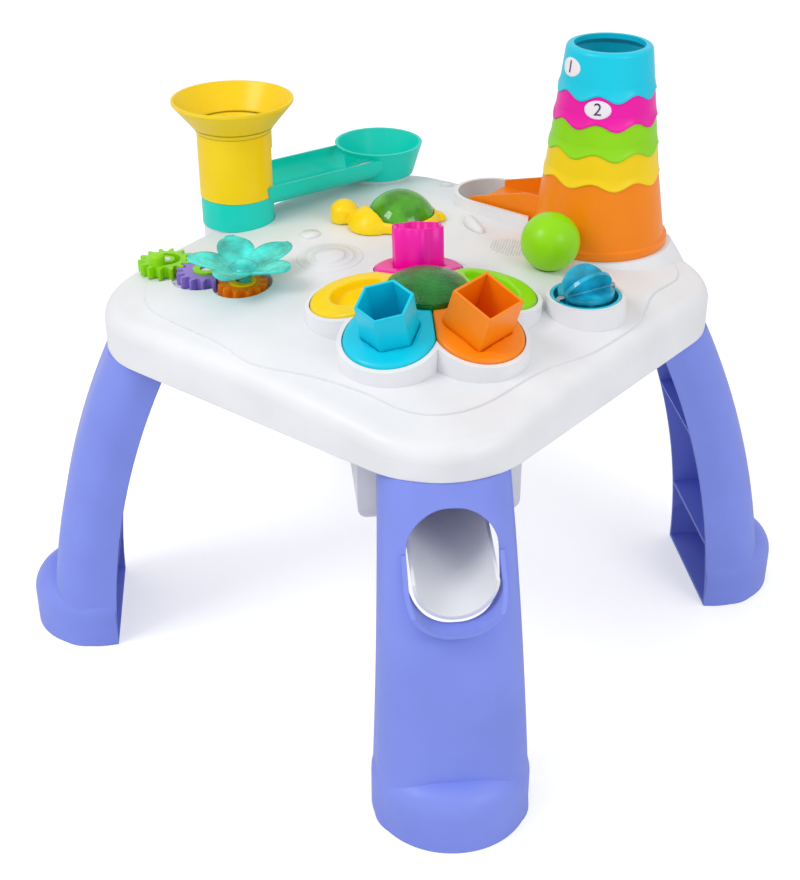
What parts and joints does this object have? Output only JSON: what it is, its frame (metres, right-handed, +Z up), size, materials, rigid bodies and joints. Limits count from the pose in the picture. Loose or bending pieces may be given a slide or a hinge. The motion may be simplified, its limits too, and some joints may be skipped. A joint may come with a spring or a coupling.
{
  "type": "musical activity table",
  "caption": "Toddler activity table on channel legs with shape sorter, gear train, ball track, cup tower, tumbling spinner and light-up press domes.",
  "frame": {"origin": "centre of the footprint at floor level", "axes": "+Z up; the table sides lie along X and Y, and the leg with the ball window stands at +X, -Y"},
  "size_m": [0.486, 0.486, 0.461],
  "materials": {
    "white_plastic": "satin moulded",
    "leg_plastic": "satin moulded",
    "teal_plastic": "gloss",
    "yellow_plastic": "gloss",
    "orange_plastic": "gloss",
    "lime_plastic": "gloss",
    "pink_plastic": "gloss",
    "blue_plastic": "gloss",
    "purple_plastic": "gloss",
    "clear_green": "clear gloss",
    "clear_teal": "clear gloss",
    "clear_blue": "clear gloss",
    "steel": "satin",
    "board_green": "matte",
    "battery_metal": "satin",
    "black_plastic": "matte"
  },
  "bodies": {
    "table": {"back_leg": "leg_plastic", "ball_chute": "white_plastic", "ball_track": "teal_plastic", "batteries": "battery_metal", "battery_contacts": "steel", "casing_screws": "steel", "circuit_board": "board_green", "cup_base": "orange_plastic", "front_leg": "leg_plastic", "funnel": "yellow_plastic", "left_leg": "leg_plastic", "petal_blue": "blue_plastic", "petal_lime": "lime_plastic", "petal_orange": "orange_plastic", "petal_pink": "pink_plastic", "petal_yellow": "yellow_plastic", "right_leg": "leg_plastic", "sorter_light_board": "board_green", "sorter_spring": "steel", "speaker": "black_plastic", "spinner_bowl": "blue_plastic", "tabletop_shell": "white_plastic", "turtle_body": "yellow_plastic", "turtle_spring": "steel", "underside_tray": "white_plastic"},
    "orange_gear_set": {"orange_gear": "orange_plastic", "yellow_hub_disc": "yellow_plastic", "flower_spinner": "clear_teal"},
    "purple_gear_set": {"purple_gear": "purple_plastic", "lime_hub_cap": "lime_plastic"},
    "lime_gear_set": {"lime_gear": "lime_plastic"},
    "spinner": {"spinner_wheel": "clear_blue", "spinner_axle": "steel"},
    "sorter_button": {"sorter_dome": "clear_green"},
    "turtle_button": {"turtle_dome": "clear_green", "turtle_light_guide": "lime_plastic"},
    "star": {"star_block": "pink_plastic"},
    "hexagon": {"hexagon_block": "blue_plastic"},
    "square": {"square_block": "orange_plastic"},
    "loose_ball": {"ball": "lime_plastic"},
    "yellow_cup": {"cup_yellow": "yellow_plastic"},
    "lime_cup": {"cup_lime": "lime_plastic"},
    "pink_cup": {"cup_pink": "pink_plastic"},
    "blue_cup": {"cup_blue": "blue_plastic"},
    "switch": {"power_switch": "black_plastic"},
    "door": {"battery_door": "white_plastic"}
  },
  "joints": [
    {"name": "orange_spin", "type": "hinge", "parent": "table", "child": "orange_gear_set", "pos_m": [-0.08462, -0.10018, 0.29457], "axis": [0, 0, 1], "continuous": true},
    {"name": "purple_spin", "type": "hinge", "parent": "table", "child": "purple_gear_set", "pos_m": [-0.1224, -0.1015, 0.29457], "axis": [0, 0, 1], "continuous": true},
    {"name": "lime_spin", "type": "hinge", "parent": "table", "child": "lime_gear_set", "pos_m": [-0.1627, -0.10645, 0.29457], "axis": [0, 0, 1], "continuous": true},
    {"name": "spinner_turn", "type": "hinge", "parent": "table", "child": "spinner", "pos_m": [0.1414, 0.031, 0.313], "axis": [0.342, 0.9397, 0], "continuous": true},
    {"name": "sorter_press", "type": "slide", "parent": "table", "child": "sorter_button", "axis": [-0.0592, 0.0592, -0.9965], "range_m": [0, 0.003], "stiffness_N_per_m": 500, "springref_m": -0.001, "deforming": ["sorter_spring"]},
    {"name": "turtle_press", "type": "slide", "parent": "table", "child": "turtle_button", "axis": [0, 0, -1], "range_m": [0, 0.003], "stiffness_N_per_m": 500, "springref_m": -0.001, "deforming": ["turtle_spring"]},
    {"name": "star_lift", "type": "slide", "parent": "table", "child": "star", "axis": [-0.1567, 0.1567, 0.9751], "range_m": [0, 0.04]},
    {"name": "hexagon_lift", "type": "slide", "parent": "table", "child": "hexagon", "axis": [0.1031, -0.3544, 0.9294], "range_m": [0, 0.04]},
    {"name": "square_lift", "type": "slide", "parent": "table", "child": "square", "axis": [0.3544, -0.1031, 0.9294], "range_m": [0, 0.04]},
    {"name": "ball_lift", "type": "slide", "parent": "table", "child": "loose_ball", "axis": [0, 0, 1], "range_m": [0, 0.06]},
    {"name": "yellow_cup_lift", "type": "slide", "parent": "table", "child": "yellow_cup", "axis": [0, 0, 1], "range_m": [0, 0.03]},
    {"name": "lime_cup_lift", "type": "slide", "parent": "yellow_cup", "child": "lime_cup", "axis": [0, 0, 1], "range_m": [0, 0.03]},
    {"name": "pink_cup_lift", "type": "slide", "parent": "lime_cup", "child": "pink_cup", "axis": [0, 0, 1], "range_m": [0, 0.03]},
    {"name": "blue_cup_lift", "type": "slide", "parent": "pink_cup", "child": "blue_cup", "axis": [0, 0, 1], "range_m": [0, 0.03]},
    {"name": "power_slide", "type": "slide", "parent": "table", "child": "switch", "axis": [1, 0, 0], "range_m": [0, 0.005]},
    {"name": "door_drop", "type": "slide", "parent": "table", "child": "door", "axis": [0, 0, -1], "range_m": [0, 0.03]}
  ],
  "couplings": [
    {"joint": "purple_spin", "follows": "orange_spin", "ratio": -0.8},
    {"joint": "lime_spin", "follows": "orange_spin", "ratio": 0.85714}
  ]
}
